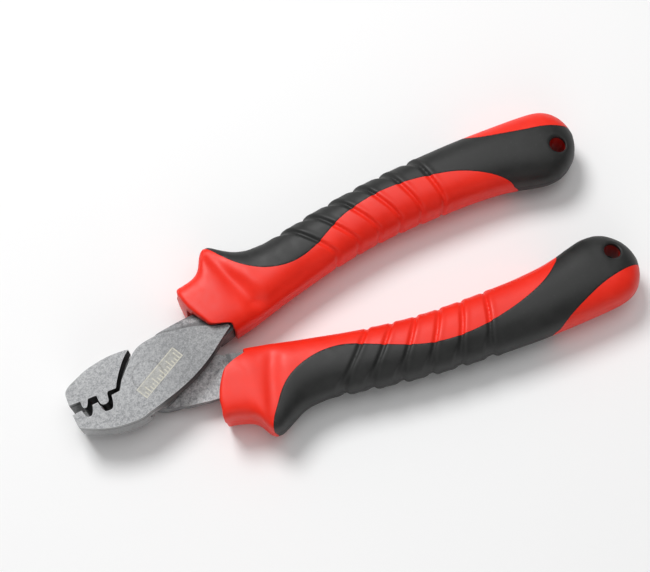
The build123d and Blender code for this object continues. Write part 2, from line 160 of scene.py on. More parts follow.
# half B's guard tip is a little blunter and its collar corner a little fuller:
# (centre x, centre y, reach, shift x, shift y)
BUMPS_B = [(25.5, -27.8, 4.6, -0.42, 1.00), (15.9, -19.3, 2.8, -0.85, 0.55)]


# ------------------------------------------------------------------------ curves
def hermite(knots, values, slopes, at):
    """Cubic Hermite curve through the knots, evaluated at an array."""
    i = np.clip(np.searchsorted(knots, at, side="right") - 1, 0, len(knots) - 2)
    h = knots[i + 1] - knots[i]
    s = (at - knots[i]) / h
    return ((1 + 2 * s) * (1 - s) ** 2 * values[i] + s * (1 - s) ** 2 * h * slopes[i]
            + s * s * (3 - 2 * s) * values[i + 1] + s * s * (s - 1) * h * slopes[i + 1])


def monotone(table, at):
    """Monotone cubic through (x, value) pairs, held constant past the ends."""
    knots, values = np.array(table, float).T
    gap = np.diff(knots)
    rise = np.diff(values) / gap
    slopes = np.zeros(len(knots))
    slopes[0], slopes[-1] = rise[0], rise[-1]
    for i in range(1, len(knots) - 1):
        if rise[i - 1] * rise[i] > 0:
            before, after = 2 * gap[i] + gap[i - 1], gap[i] + 2 * gap[i - 1]
            slopes[i] = (before + after) / (before / rise[i - 1] + after / rise[i])
    return hermite(knots, values, slopes, np.clip(np.asarray(at, float), knots[0], knots[-1]))


def dense(points, step=0.35):
    """Smooth curve through (x, y) points, sampled evenly along their polyline."""
    points = np.array(points, float)
    length = np.concatenate([[0], np.cumsum(np.hypot(*np.diff(points, axis=0).T))])
    at = np.arange(0, length[-1], step)
    return np.stack([hermite(length, values, np.gradient(values, length), at)
                     for values in points.T], 1)


def smooth(start, end, x):
    """Smooth step from 0 at start to 1 at end; end may be the smaller one."""
    t = np.clip((np.asarray(x, float) - start) / (end - start), 0, 1)
    return t * t * (3 - 2 * t)


# ----------------------------------------------------------------- grip sections
def section_table():
    """Evenly spaced superellipse rings at every tabulated x."""
    xs = np.arange(13.0, GRIP_END + 0.0001, SECTION_STEP)
    inner, outer = monotone(INNER_EDGE, xs), monotone(OUTER_EDGE, xs)
    half_z, power = monotone(HALF_THICKNESS, xs), monotone(SQUARENESS, xs)
    mid_y, half_y = (inner + outer) / 2, (outer - inner) / 2
    ring_y, ring_z = np.zeros((len(xs), RING_POINTS)), np.zeros((len(xs), RING_POINTS))
    angle = np.linspace(0, math.pi / 2, 600)
    for i in range(len(xs)):
        arc_y = half_y[i] * np.cos(angle) ** (2 / power[i])
        arc_z = half_z[i] * np.sin(angle) ** (2 / power[i])
        length = np.concatenate([[0], np.cumsum(np.hypot(np.diff(arc_y), np.diff(arc_z)))])
        at = np.linspace(0, length[-1], QUARTER_POINTS + 1)
        y, z = np.interp(at, length, arc_y), np.interp(at, length, arc_z)
        y[-1] = 0.0
        z[0] = 0.0
        ring_y[i] = mid_y[i] + np.concatenate([y[:-1], -y[::-1][:-1], -y[:-1], y[::-1][:-1]])
        ring_z[i] = np.concatenate([z[:-1], z[::-1][:-1], -z[:-1], -z[::-1][:-1]])
    return xs, ring_y, ring_z, mid_y, half_y, half_z


SECTION_X, RING_Y, RING_Z, MID_Y, HALF_Y, HALF_Z = section_table()


def section(x):
    """y and z of all ring points, each at its own x."""
    place = np.clip((x - SECTION_X[0]) / SECTION_STEP, 0, len(SECTION_X) - 1.001)
    i = place.astype(int)
    w = place - i
    k = np.arange(RING_POINTS)
    return (RING_Y[i, k] * (1 - w) + RING_Y[i + 1, k] * w,
            RING_Z[i, k] * (1 - w) + RING_Z[i + 1, k] * w)


def section_size(x):
    """Mid y, half width and half thickness of the section at x."""
    return [np.interp(x, SECTION_X, values) for values in (MID_Y, HALF_Y, HALF_Z)]


def collar_front(y, z):
    top = smooth(-1.2, 1.2, z)
    return monotone(COLLAR_FRONT_TOP, y) * top + monotone(COLLAR_FRONT_BOTTOM, y) * (1 - top)


def slanted_row(t, inset=0.0, shift_x=0.0):
    """Ring between the collar's front edge (t = 0) and BLEND_X (t = 1)."""
    x = np.full(RING_POINTS, 20.0)
    for _ in range(60):                 # x depends on y and z, which depend on x
        front = collar_front(*section(x))
        x = 0.6 * x + 0.4 * (front + t * (BLEND_X - front))
    y, z = section(x)
    if inset:
        mid_y, half_y, half_z = section_size(x)
        y = mid_y + (y - mid_y) * (1 - inset / half_y)
        z = z * (1 - inset / half_z)
    return np.stack([x + shift_x, y, z], 1)


def base_grid():
    """Rows of ring points from the collar to the rounded end, and the end point."""
    rows = []
    for degrees in (0.0, 22.5, 45.0, 67.5):
        a = math.radians(degrees)
        rows.append(slanted_row(0.0, inset=COLLAR_ROUNDING * (1 - math.sin(a)),
                                shift_x=COLLAR_ROUNDING * (1 - math.cos(a))))
    for t in np.concatenate([[0.045], np.linspace(0.075, 1, 52)]):
        rows.append(slanted_row(t))
    # rows get closer towards the end
    for x in np.concatenate([np.arange(33.3, 118.0, 0.33), np.arange(118.0, 126.0, 0.25),
                             np.arange(126.0, GRIP_END, 0.15), [128.93, GRIP_END]]):
        row_x = np.full(RING_POINTS, x)
        rows.append(np.stack([row_x, *section(row_x)], 1))
    last = rows[-1]
    centre = last.mean(0)
    for scale in (0.85, 0.65, 0.42, 0.2):
        row = centre + (last - centre) * scale
        row[:, 0] = GRIP_END + END_BULGE * (1 - scale * scale)
        rows.append(row)
    return np.array(rows), np.array([GRIP_END + END_BULGE, centre[1], centre[2]])


def grid_normals(grid):
    """Outward unit normals of a grid of rings."""
    along = np.gradient(grid, axis=0)
    around = (np.roll(grid, -1, 1) - np.roll(grid, 1, 1)) / 2
    normals = np.cross(around, along)
    normals /= np.maximum(np.linalg.norm(normals, axis=2), 1e-9)[..., None]
    centre = grid.mean(1, keepdims=True)
    normals[np.sum(normals * (grid - centre), axis=(1, 2)) < 0] *= -1
    return normals


# ------------------------------------------------------------------- grip relief
# across and up run from -1 to 1 over the width (y) and thickness (z) of a section
def add_grooves(height, x, across, up):
    """Finger grooves, each with a low swelling behind its rear wall."""
    outer = smooth(0.35, 1.0, across)
    inner = smooth(-0.45, -1.0, across)
    side = 1 - outer - inner
    rear_wall, floor, front_wall, depth = (
        on_side * side + on_outer * outer + on_inner * inner
        for on_side, on_outer, on_inner in (GROOVE_REAR_WALL, GROOVE_FLOOR,
                                            GROOVE_FRONT_WALL, GROOVE_DEPTH))
    for x_outer, x_inner in GROOVES:
        # the groove lies a little further back on the top side
        ring = ((x_outer + x_inner) / 2 + (x_outer - x_inner) / 2 * across
                + 2.1 * smooth(0, 1, up)
                + (0.45 - 0.9 * smooth(-0.3, 1, across)) * smooth(0, 0.8, -up))
        t = x - ring
        rear = 1 - smooth(0, 1, t / rear_wall)
        front = smooth(0, 1, (t + floor + front_wall) / front_wall)
        sag = 0.86 + 0.14 * smooth(0, 1, (t + floor) / np.maximum(floor, 0.1))
        height -= depth * np.where(t > 0, rear, front * sag)
        height += (0.10 + 0.04 * outer) * np.exp(-((t - rear_wall - 0.50) / 0.65) ** 2)


def add_collar(height, x, y, across, up):
    """Facet, valley and ridge across the flat sides of the collar."""
    valley_x = 30.9 - 0.37 * (y - 10.3) - 1.0 * smooth(0.3, -0.3, up)
    top = smooth(-0.3, 0.3, up)
    # only on the flat sides, and faded out at the inner and outer edges
    weight = (smooth(0.45, 0.9, np.abs(up)) * smooth(4.5 - top, 9.5 - 2.0 * top, y)
              * (1 - smooth(24.0, 26.5, y)))
    # the valley deepens and widens inwards on the top side
    depth = 0.60 + top * (-0.02 + 0.36 * smooth(20.0, 11.0, y))
    width = 1.7 + top * (0.1 + 1.0 * smooth(18.0, 9.0, y))
    t = x - valley_x - 0.3 * (width - 1.5)
    rear_width = width * (1 + 0.45 * (1 - top))     # gentler rear wall on the bottom side
    valley = -depth * np.exp(-(t / np.where(t > 0, rear_width, width)) ** 2)
    ridge = (0.08 + 0.12 * top) * np.exp(-((x - valley_x - 3.7 - 0.2 * top)
                                           / (3.2 - 0.4 * top)) ** 2)
    height += weight * (valley + ridge)
    # the flat facet stands slightly proud, then falls off to the valley
    height += 0.09 * weight * (1 - smooth(valley_x - 5.6, valley_x - 0.6, x))
    # behind the collar the top side falls away to the inner edge
    height -= (0.75 * smooth(-0.15, -0.95, across) * smooth(0.3, 0.8, up)
               * smooth(28.5, 33.5, x) * (1 - smooth(44.0, 58.0, x)))


def add_hole_rim(height, x, y, up, rounding=0.75):
    """Rounded rim of the hanging hole."""
    distance = np.hypot(x - HOLE_X, y - HOLE_Y)
    t = np.clip(HOLE_RADIUS + rounding - distance, 0, rounding)
    drop = rounding - np.sqrt(np.maximum(rounding * rounding - t * t, 0))
    height -= drop * (np.abs(up) > 0.25)


def add_parting_line(height, x, z, rise=0.10, width=0.15):
    """Fine mould line along both edges."""
    height += (rise * np.exp(-(z / width) ** 2)
               * smooth(15.5, 17.0, x) * (1 - smooth(127, 128.5, x)))


def relief(grid):
    """Height of the surface detail over the plain sections."""
    x, y, z = grid[..., 0], grid[..., 1], grid[..., 2]
    mid_y, half_y, half_z = section_size(x)
    across, up = np.clip((y - mid_y) / half_y, -1, 1), np.clip(z / half_z, -1, 1)
    height = np.zeros_like(x)
    add_grooves(height, x, across, up)
    add_collar(height, x, y, across, up)
    add_hole_rim(height, x, y, up)
    add_parting_line(height, x, z)
    return height


# ---------------------------------------------------- split into skin and core
def skin_outline(start, stop):
    """Closed outline of the soft skin's area, run out past the grip."""
    start, stop = dense(start), dense(stop)
    return np.concatenate([start, [(start[-1][0], 0.0), (140, 0.0), (140, stop[-1][1])],
                           stop[::-1], [(stop[0][0], 40), (start[0][0], 40)]])


def signed_distance(outline, x, y):
    """Distance to a closed outline, positive inside."""
    points = np.stack([x, y], 1)
    nearest = np.full(len(points), 1e9)
    inside = np.zeros(len(points), bool)
    for start, end in zip(outline, np.roll(outline, -1, 0)):
        edge = end - start
        square = edge @ edge
        if square < 1e-12:
            continue
        offset = points - start
        t = np.clip((offset @ edge) / square, 0, 1)
        nearest = np.minimum(nearest, ((offset - t[:, None] * edge) ** 2).sum(1))
        spans = (start[1] > points[:, 1]) != (end[1] > points[:, 1])
        if spans.any() and abs(edge[1]) > 1e-12:
            cross_x = start[0] + (points[:, 1] - start[1]) * edge[0] / edge[1]
            inside ^= spans & (points[:, 0] < cross_x)
    return np.where(inside, 1, -1) * np.sqrt(nearest)


def skin_distance(points):
    """Distance inside the soft skin's edge, negative on the hard core."""
    x, y, z = points[:, 0], points[:, 1], points[:, 2]
    on_top = signed_distance(skin_outline(SKIN_START_TOP, SKIN_STOP_TOP), x, y)
    on_bottom = signed_distance(skin_outline(SKIN_START_BOTTOM, SKIN_STOP_BOTTOM), x, y)
    top = smooth(-1.8, 1.8, z)
    distance = on_top * top + on_bottom * (1 - top)
    distance[np.abs(distance) < 0.02] = 0.02        # avoids slivers along the edge
    return distance


def grip_surface():
    """Points as rows of (outer xyz, normal xyz, bed xyz), then quads, end fan and cap.

    The bed under the soft skin follows the plain sections, without relief.
    """
    base, pole = base_grid()
    normals = grid_normals(base)
    bed = base - normals * SKIN_THICKNESS
    outer = base + normals * relief(base)[..., None]
    rings = np.concatenate([outer, grid_normals(outer), bed], axis=2)
    end = np.concatenate([pole, (1.0, 0, 0), pole - (SKIN_THICKNESS, 0, 0)])
    points = np.concatenate([rings.reshape(-1, 9), [end]])

    ids = np.arange(len(points) - 1).reshape(len(base), RING_POINTS)
    a, b = ids[:-1], ids[1:]
    quads = np.stack([a, b, np.roll(b, -1, 1), np.roll(a, -1, 1)], 2).reshape(-1, 4)
    last = ids[-1]
    fan = np.stack([last, np.full(RING_POINTS, len(points) - 1), np.roll(last, -1)], 1)
    # the front of the collar is closed straight across from top to bottom
    first = ids[0]
    cap = []
    for k in range(RING_POINTS // 2):
        corners = (k, k + 1, RING_POINTS - k - 1, (RING_POINTS - k) % RING_POINTS)
        cap.append([first[c] for c in dict.fromkeys(corners)])
    return points, quads, fan, cap


def split_grip():
    """Skin faces, core faces, all points, and the ids of the points on the seam."""
    points, quads, fan, cap = grip_surface()
    distance = skin_distance(points)
    soft = distance > 0
    skin, core, mixed = [], [], []
    for faces in (quads, fan):
        count = soft[faces].sum(1)
        size = faces.shape[1]
        skin += [list(f) for f in faces[count == size]]
        core += [list(f) for f in faces[count == 0]]
        mixed += [list(f) for f in faces[(count > 0) & (count < size)]]
    core += cap

    seam_points, seam_ids = [], {}

    def crossing(i, j):
        """Id of the seam point on an edge, made once."""
        key = (min(i, j), max(i, j))
        if key not in seam_ids:
            t = distance[i] / (distance[i] - distance[j])
            seam_points.append(points[i] + t * (points[j] - points[i]))
            seam_ids[key] = len(points) + len(seam_points) - 1
        return seam_ids[key]

    for face in mixed:
        if len(face) == 3:
            triangles = [face]
        else:
            triangles = [face[:3], [face[0], face[2], face[3]]]
        for triangle in triangles:
            inside, outside = [], []
            for a, b in zip(triangle, triangle[1:] + triangle[:1]):
                (inside if soft[a] else outside).append(a)
                if soft[a] != soft[b]:
                    c = crossing(a, b)
                    inside.append(c)
                    outside.append(c)
            if len(inside) >= 3:
                skin.append(inside)
            if len(outside) >= 3:
                core.append(outside)
    seam = set(seam_ids.values())
    return skin, core, np.concatenate([points, np.array(seam_points)]), seam


# ----------------------------------------------------------------- mesh building
def build_object(name, verts, faces, weld=False):
    """Linked object from points in mm, with its normals facing out."""
    me = bpy.data.meshes.new(name)
    me.from_pydata([tuple(c * MM for c in v) for v in verts], [], faces)
    bm = bmesh.new()
    bm.from_mesh(me)
    if weld:
        bmesh.ops.remove_doubles(bm, verts=bm.verts, dist=2e-7)
        bmesh.ops.dissolve_degenerate(bm, dist=1e-7, edges=bm.edges)
    bmesh.ops.recalc_face_normals(bm, faces=bm.faces)
    bm.to_mesh(me)
    bm.free()
    return link_object(name, me)


def link_object(name, data):
    ob = bpy.data.objects.new(name, data)
    bpy.context.scene.collection.objects.link(ob)
    return ob


def build_part(name, verts, faces):
    """Object from only those points that its faces use."""
    used = sorted({v for f in faces for v in f})
    new_id = {v: i for i, v in enumerate(used)}
    return build_object(name, verts[used], [[new_id[v] for v in f] for f in faces], weld=True)


def build_grip():
    """Closed skin and core, which share the bed and the walls round it."""
    skin, core, points, seam = split_grip()
    outer, normals, bed = points[:, :3], points[:, 3:6], points[:, 6:]
    count = len(points)
    verts = np.concatenate([outer, bed, outer - normals * SKIN_EDGE_SINK])
    edges = dict.fromkeys((a, b) for f in skin for a, b in zip(f, f[1:] + f[:1])
                          if a in seam and b in seam)
    rim = [(a, b) for a, b in edges if (b, a) not in edges]
    sunk = {v: v + 2 * count for v in seam}
    bed_faces = [[v + count for v in f] for f in skin]

    skin_faces = [[sunk.get(v, v) for v in f] for f in skin]
    skin_faces += [f[::-1] for f in bed_faces]
    skin_faces += [[sunk[b], sunk[a], a + count, b + count] for a, b in rim]
    core_faces = core + bed_faces + [[a, b, b + count, a + count] for a, b in rim]
    return (build_part("grip_skin_work", verts, skin_faces),
            build_part("grip_core_work", verts, core_faces))


def prism(name, outline, z_low, z_high):
    """Closed straight prism used as a cutter."""
    n = len(outline)
    verts = [(x, y, z) for z in (z_low, z_high) for x, y in outline]
    faces = [list(range(n))[::-1], list(range(n, 2 * n))]
    faces += [[i, (i + 1) % n, n + (i + 1) % n, n + i] for i in range(n)]
    return build_object(name, verts, faces)


def circle(x, y, radius, segments=72):
    angles = [2 * math.pi * i / segments for i in range(segments)]
    return [(x + radius * math.cos(a), y + radius * math.sin(a)) for a in angles]


def tang_outline():
    """Space for the tang, opened to the front of the collar."""
    (in_x, in_y), (out_x, out_y) = TANG_IN[-1], TANG_OUT[0]
    outline = [(13.0, 1.6)] + [(x, y - TANG_GAP) for x, y in dense(TANG_IN, 1.0)]
    outline += [(in_x + TANG_GAP, in_y), (out_x + TANG_GAP, out_y)]
    return outline + [(x, y + TANG_GAP) for x, y in dense(TANG_OUT, 1.0)] + [(13.0, 11.9)]


def cut_away(ob, cutters):
    for cutter in cutters:
        cut = ob.modifiers.new("cut", "BOOLEAN")
        cut.operation = "DIFFERENCE"
        cut.solver = "MANIFOLD"
        cut.object = cutter
        graph = bpy.context.evaluated_depsgraph_get()
        result = bpy.data.meshes.new_from_object(ob.evaluated_get(graph))
        ob.modifiers.clear()
        old = ob.data
        ob.data = result
        bpy.data.meshes.remove(old)


def cut_grip(skin, core):
    """Hanging hole through both parts, room for the steel in the core."""
    hole = prism("c_hole", circle(HOLE_X, HOLE_Y, HOLE_RADIUS), -12, 12)
    tang_z = TANG_HALF_Z + TANG_GAP
    tang = prism("c_tang", tang_outline(), -tang_z, tang_z)
    shank = prism("c_shank", SHANK, *SHANK_Z)
    mouth = prism("c_mouth", MOUTH, -MOUTH_HALF_Z, MOUTH_HALF_Z)
    cut_away(skin, [hole])
    cut_away(core, [hole, shank, mouth, tang])
    for cutter in (hole, shank, mouth, tang):
        bpy.data.objects.remove(cutter)


def tidy(me):
    """Weld, drop loose points and shade smooth between sharp edges."""
    bm = bmesh.new()
    bm.from_mesh(me)
    bmesh.ops.remove_doubles(bm, verts=bm.verts, dist=2e-7)
    loose = [v for v in bm.verts if not v.link_faces]
    bmesh.ops.delete(bm, geom=loose, context="VERTS")
    for face in bm.faces:
        face.smooth = True
    for edge in bm.edges:
        if len(edge.link_faces) == 2 and edge.calc_face_angle() > SHARP_ANGLE:
            edge.smooth = False
    bm.to_mesh(me)
    bm.free()


def reshape(me, bumps, bend):
    """Local fullness, and a slight sideways set of the moulding."""
    co = np.empty(len(me.vertices) * 3)
    me.vertices.foreach_get("co", co)
    co = co.reshape(-1, 3)
    base = co.copy()
    for x, y, reach, shift_x, shift_y in bumps:
        w = np.exp(-((base[:, 0] - x * MM) ** 2 + (base[:, 1] - y * MM) ** 2)
                   / (reach * MM) ** 2)
        co[:, 0] += shift_x * MM * w
        co[:, 1] += shift_y * MM * w
    co[:, 1] += monotone(bend, base[:, 0] / MM) * MM
    me.vertices.foreach_set("co", co.ravel())
    me.update()


def place(source, part, half):
    """Copy a drawn part to half "a" or "b"."""
    kind, slot = {"core": ("hard", "grip_red"), "skin": ("soft", "grip_black")}[part]
    name = f"{kind}_grip_{part}_{half}"
    me = source.data.copy()
    me.name = name
    if half == "b":
        me.transform(Matrix.Rotation(math.pi, 4, "X"))
        reshape(me, BUMPS_B, BEND_B)
    else:
        reshape(me, [], BEND_A)
    me.transform(Matrix.Translation((0, 0, LAP_Z * MM)))
    tidy(me)
    ob = link_object(name, me)
    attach(ob, f"half_{half}")
    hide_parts(f"grip_{part}_{half}")
    return ob


skin_source, core_source = build_grip()
cut_grip(skin_source, core_source)
cores, skins = [], []
for half in ("a", "b"):
    cores.append(place(core_source, "core", half))
    skins.append(place(skin_source, "skin", half))
bpy.data.objects.remove(skin_source)
bpy.data.objects.remove(core_source)


# --------------------------------------------------------------------- materials
class Nodes:
    """A material built round one Principled shader, in object coordinates (m)."""

    def __init__(self, name):
        self.mat = bpy.data.materials.new(name)
        self.mat.use_nodes = True
        self.tree = self.mat.node_tree
        self.tree.nodes.clear()
        out = self.tree.nodes.new("ShaderNodeOutputMaterial")
        self.bsdf = self.tree.nodes.new("ShaderNodeBsdfPrincipled")
        self.feed(out.inputs[0], self.bsdf.outputs[0])
        self.co = self.tree.nodes.new("ShaderNodeTexCoord").outputs["Object"]

    def feed(self, socket, value):
        """Set a socket to a number or tuple, or link an output to it."""
        if not isinstance(value, (int, float, tuple)):
            self.tree.links.new(value, socket)
        elif socket.type == "RGBA":
            socket.default_value = (*value, 1)
        else:
            socket.default_value = value

    def node(self, kind, inputs, **settings):
        node = self.tree.nodes.new(kind)
        for key, value in settings.items():
            setattr(node, key, value)
        for key, value in inputs.items():
            self.feed(node.inputs[key], value)
        return node

    def surface(self, inputs):
        for key, value in inputs.items():
            self.feed(self.bsdf.inputs[key], value)
        return self.mat

    def noise(self, scale, detail, roughness):
        return self.node("ShaderNodeTexNoise", {
            "Scale": scale, "Detail": detail, "Roughness": roughness,
            "Vector": self.co}).outputs["Fac"]

    def separate(self, vector):
        return self.node("ShaderNodeSeparateXYZ", {0: vector}).outputs[:]

    def ramp(self, fac, stops):
        """Colour ramp over (position, colour) stops."""
        node = self.node("ShaderNodeValToRGB", {0: fac})
        elements = node.color_ramp.elements
        while len(elements) < len(stops):
            elements.new(0.5)
        for element, (position, colour) in zip(elements, stops):
            element.position = position
            element.color = (*colour, 1)
        return node.outputs[0]

    def grey_ramp(self, fac, *stops):
        """Ramp over (position, grey level) stops."""
        return self.ramp(fac, [(position, (level,) * 3) for position, level in stops])

    def math(self, operation, *values, clamp=False):
        return self.node("ShaderNodeMath", dict(enumerate(values)),
                         operation=operation, use_clamp=clamp).outputs[0]

    def add(self, a, b, clamp=False):
        return self.math("ADD", a, b, clamp=clamp)

    def sub(self, a, b, clamp=False):
        return self.math("SUBTRACT", a, b, clamp=clamp)

    def mul(self, first, *others, clamp=False):
        """Product from left to right; only the last step is clamped."""
        for other in others[:-1]:
            first = self.math("MULTIPLY", first, other)
        return self.math("MULTIPLY", first, others[-1], clamp=clamp)

    def size(self, a):
        return self.math("ABSOLUTE", a)

    def less(self, a, b):
        return self.math("LESS_THAN", a, b)

    def invert(self, mask, clamp=False):
        return self.sub(1.0, mask, clamp)

    def above(self, value, start, gain):
        """Mask that rises from 0 as the value climbs past start."""
        return self.mul(self.sub(value, start), gain, clamp=True)

    def below(self, value, start, gain):
        """Mask that rises from 0 as the value falls below start."""
        return self.mul(self.sub(start, value), gain, clamp=True)

    def band(self, value, centre, gain):
        """Mask that is 1 at the centre and falls off to both sides."""
        return self.invert(self.mul(self.size(self.sub(value, centre)), gain), clamp=True)

    def radius(self, x, y):
        return self.math("SQRT", self.add(self.mul(x, x), self.mul(y, y)))

    def mix(self, fac, a, b):
        return self.node("ShaderNodeMix", {0: fac, 6: a, 7: b},
                         data_type="RGBA", blend_type="MIX").outputs[2]

    def bump(self, height, strength, distance, normal=None):
        inputs = {"Strength": strength, "Distance": distance, "Height": height}
        if normal is not None:
            inputs["Normal"] = normal
        return self.node("ShaderNodeBump", inputs).outputs[0]


def steel_masks(m):
    """Noises, coordinates and masks that the layers of the steel share."""
    s = SimpleNamespace()
    s.grit = m.noise(scale=2300, detail=3, roughness=0.6)
    s.mottle = m.noise(scale=900, detail=4, roughness=0.6)
    s.cloud = m.noise(scale=120, detail=3, roughness=0.5)
    # ambient occlusion, for the painted shade in crevices and on sheltered walls
    ao = m.node("ShaderNodeAmbientOcclusion", {"Distance": 0.005}, samples=8)
    s.shade = m.grey_ramp(ao.outputs["AO"], (0.52, 1), (0.92, 0))
    s.geometry = m.node("ShaderNodeNewGeometry", {})
    s.normal_z = m.separate(s.geometry.outputs["True Normal"])[2]
    s.x, s.y, z = m.separate(m.co)
    s.z_mm = m.mul(z, 1000.0)
    s.level = m.size(m.sub(s.z_mm, LAP_Z))          # distance from the lap plane, mm
    s.radius = m.radius(s.x, s.y)                   # distance from the rivet's axis
    wall = m.invert(m.size(s.normal_z), clamp=True)
    s.wall = m.grey_ramp(wall, (0.35, 0), (0.75, 1))
    s.behind = m.mul(m.add(s.x, 0.002), 250.0, clamp=True)      # behind the ground jaws
    s.dull = m.mul(m.add(s.x, 0.001), 110.0, clamp=True)        # from the boss backwards
    return s


def steel_grain(m, s):
    """Blasted surface: layers of grain from fine to cloudy, with dark pits."""
    fine = m.noise(scale=4200, detail=2, roughness=0.5)
    col = m.ramp(s.grit, [(0.40, (0.085, 0.088, 0.093)), (0.5, (0.230, 0.234, 0.239)),
                          (0.60, (0.480, 0.484, 0.489))])
    # amount, noise, dark stop, light stop
    for amount, noise, dark, light in (
            (0.30, fine, (0.40, (0.080, 0.082, 0.086)), (0.60, (0.480, 0.484, 0.488))),
            (0.45, s.mottle, (0.41, (0.090, 0.094, 0.100)), (0.59, (0.440, 0.444, 0.448))),
            (0.26, s.cloud, (0.35, (0.190, 0.194, 0.201)), (0.65, (0.310, 0.314, 0.318)))):
        col = m.mix(amount, col, m.ramp(noise, [dark, light]))
    pits = m.grey_ramp(m.noise(scale=2600, detail=2, roughness=0.5), (0.27, 1), (0.33, 0))
    return m.mix(m.mul(pits, 0.45), col, (0.070, 0.071, 0.074))


def steel_oxide_and_painted_light(m, s, col, marked):
    """Forge scale and painted shade on the walls, painted shade in crevices, outer jaw flanks
    free of shade and painted lighter, and a painted highlight on the forging's parting line
    along the walls.
    """
    near_grip = m.above(s.x, start=0.0170, gain=400.0)
    # walls behind the jaws are darkened, less near the grip: partly forge scale, partly
    # painted shade
    wall_scale_and_shade_zone = m.mul(s.behind, m.invert(m.mul(near_grip, 0.65)))
    scale = m.mul(s.wall, wall_scale_and_shade_zone, m.add(0.70, m.mul(s.grit, 0.30)))
    if not marked:
        scale = m.mul(scale, 0.35)
    col = m.mix(scale, col, (0.020, 0.018, 0.017))
    # the outer flank of the jaws takes no forge scale or painted shade, and is painted
    # lighter, standing in for the light falling on it
    flank = m.above(m.size(s.y), start=0.0035, gain=1000.0)
    painted_light_flank = m.mul(flank, m.invert(s.behind), clamp=True)
    painted_light_flank = m.mul(painted_light_flank, m.less(s.y, 0.0) if marked else m.less(s.x, -0.011))
    # the painted shade is weaker at the nose
    nose = m.below(s.x, start=-0.0172, gain=1500.0)
    # painted shade in crevices and on sheltered walls, from ambient occlusion, none on the
    # outer jaw flank
    dark = m.mul(s.shade, m.add(0.04, m.mul(s.wall, 0.80)), m.invert(painted_light_flank),
                 m.invert(m.mul(nose, 0.75)))
    col = m.mix(dark, col, (0.012, 0.010, 0.009))
    # painted light on the outer flank of the jaws
    col = m.mix(m.mul(painted_light_flank, s.wall, 0.35), col, (0.480, 0.480, 0.478))
    # painted reddish highlight along the walls, on the forging's parting line
    forging_line_highlight = m.band(s.z_mm, centre=7.5, gain=2.4)
    return m.mix(m.mul(forging_line_highlight, s.wall, s.behind, 0.55), col, (0.180, 0.130, 0.120))


def neck_step(m, s):
    """Mask of the heights where the neck steps up."""
    return m.mul(m.less(s.z_mm, 8.5), m.math("GREATER_THAN", s.z_mm, 7.9))


def steel_faces(m, s, col, marked):
    """Dull boss, lapped faces brightened by wear and, on half B, by painted light, and painted
    shade on the forged shank along its crease below the ground face.
    """
    plateau = m.above(s.level, start=4.6, gain=4.0)
    col = m.mix(m.mul(s.dull, plateau, 0.26), col, (0, 0, 0))
    lapped = m.mul(m.below(s.level, start=2.0, gain=2.0), m.invert(s.wall))
    if marked:
        lap_wear_and_painted_light = m.mul(lapped, 0.30)
    else:
        # painted shade in the corner where the neck steps up
        corner = m.below(s.x, start=0.0215, gain=3500.0)
        col = m.mix(m.mul(neck_step(m, s), corner, 0.85), col, (0.022, 0.021, 0.020))
        # painted light, strongest next to the other half's boss where its shadow falls, fading
        # past a slanting line
        shadow_fill_gradient = m.sub(m.mul(s.y, 242.9), m.mul(s.x, 98.8))
        shadow_fill_gradient = m.add(shadow_fill_gradient, 3.379, clamp=True)
        lap_wear_and_painted_light = m.mul(lapped, m.add(0.14, m.mul(shadow_fill_gradient, 0.60)))
    # lapped faces brightened: wear on half A, painted light against the boss's shadow on half
    # B
    brightness = m.add(1.0, m.mul(lap_wear_and_painted_light, s.dull))
    col = m.node("ShaderNodeVectorMath", {0: col, "Scale": brightness},
                 operation="SCALE").outputs[0]
    # painted shade along the crease where the shank falls below the ground face, and at the
    # neck step; the shank there is left as forged
    crease = m.add(m.sub(s.z_mm, 9.31), m.mul(s.x, 30.0))
    crease_shade_zone = m.math("MAXIMUM", m.mul(crease, 4.0, clamp=True), neck_step(m, s))
    collar = m.above(s.x, start=0.011, gain=260.0)
    forged = m.mul(m.below(s.z_mm, start=9.80, gain=6.0), crease_shade_zone,
                   m.add(0.58, m.mul(collar, 0.12)))
    return m.mix(forged, col, (0.055, 0.056, 0.058))


def steel_edges(m, s, col):
    """Worn edges lightened with a painted highlight, except round the flush rivet, which has a
    dark ring.
    """
    edge = m.node("ShaderNodeBevel", {"Radius": 0.00030}, samples=6)
    facing = m.node("ShaderNodeVectorMath",
                    {0: edge.outputs[0], 1: s.geometry.outputs["Normal"]},
                    operation="DOT_PRODUCT").outputs["Value"]
    # worn edges with a painted highlight on them, weaker in crevices and behind the jaws
    edge_wear_and_highlight = m.grey_ramp(facing, (0.90, 1), (0.985, 0))
    off_rivet = m.above(s.radius, start=0.0046, gain=3000.0)
    edge_wear_and_highlight = m.mul(edge_wear_and_highlight, 0.38, m.invert(s.shade), off_rivet, m.invert(m.mul(s.behind, 0.8)))
    col = m.mix(edge_wear_and_highlight, col, (0.60, 0.605, 0.61))
    ring = m.mul(m.band(s.radius, centre=0.0040, gain=3200.0),
                 m.grey_ramp(s.cloud, (0.42, 0.22), (0.56, 0.80)))
    return m.mix(ring, col, (0.050, 0.049, 0.048))


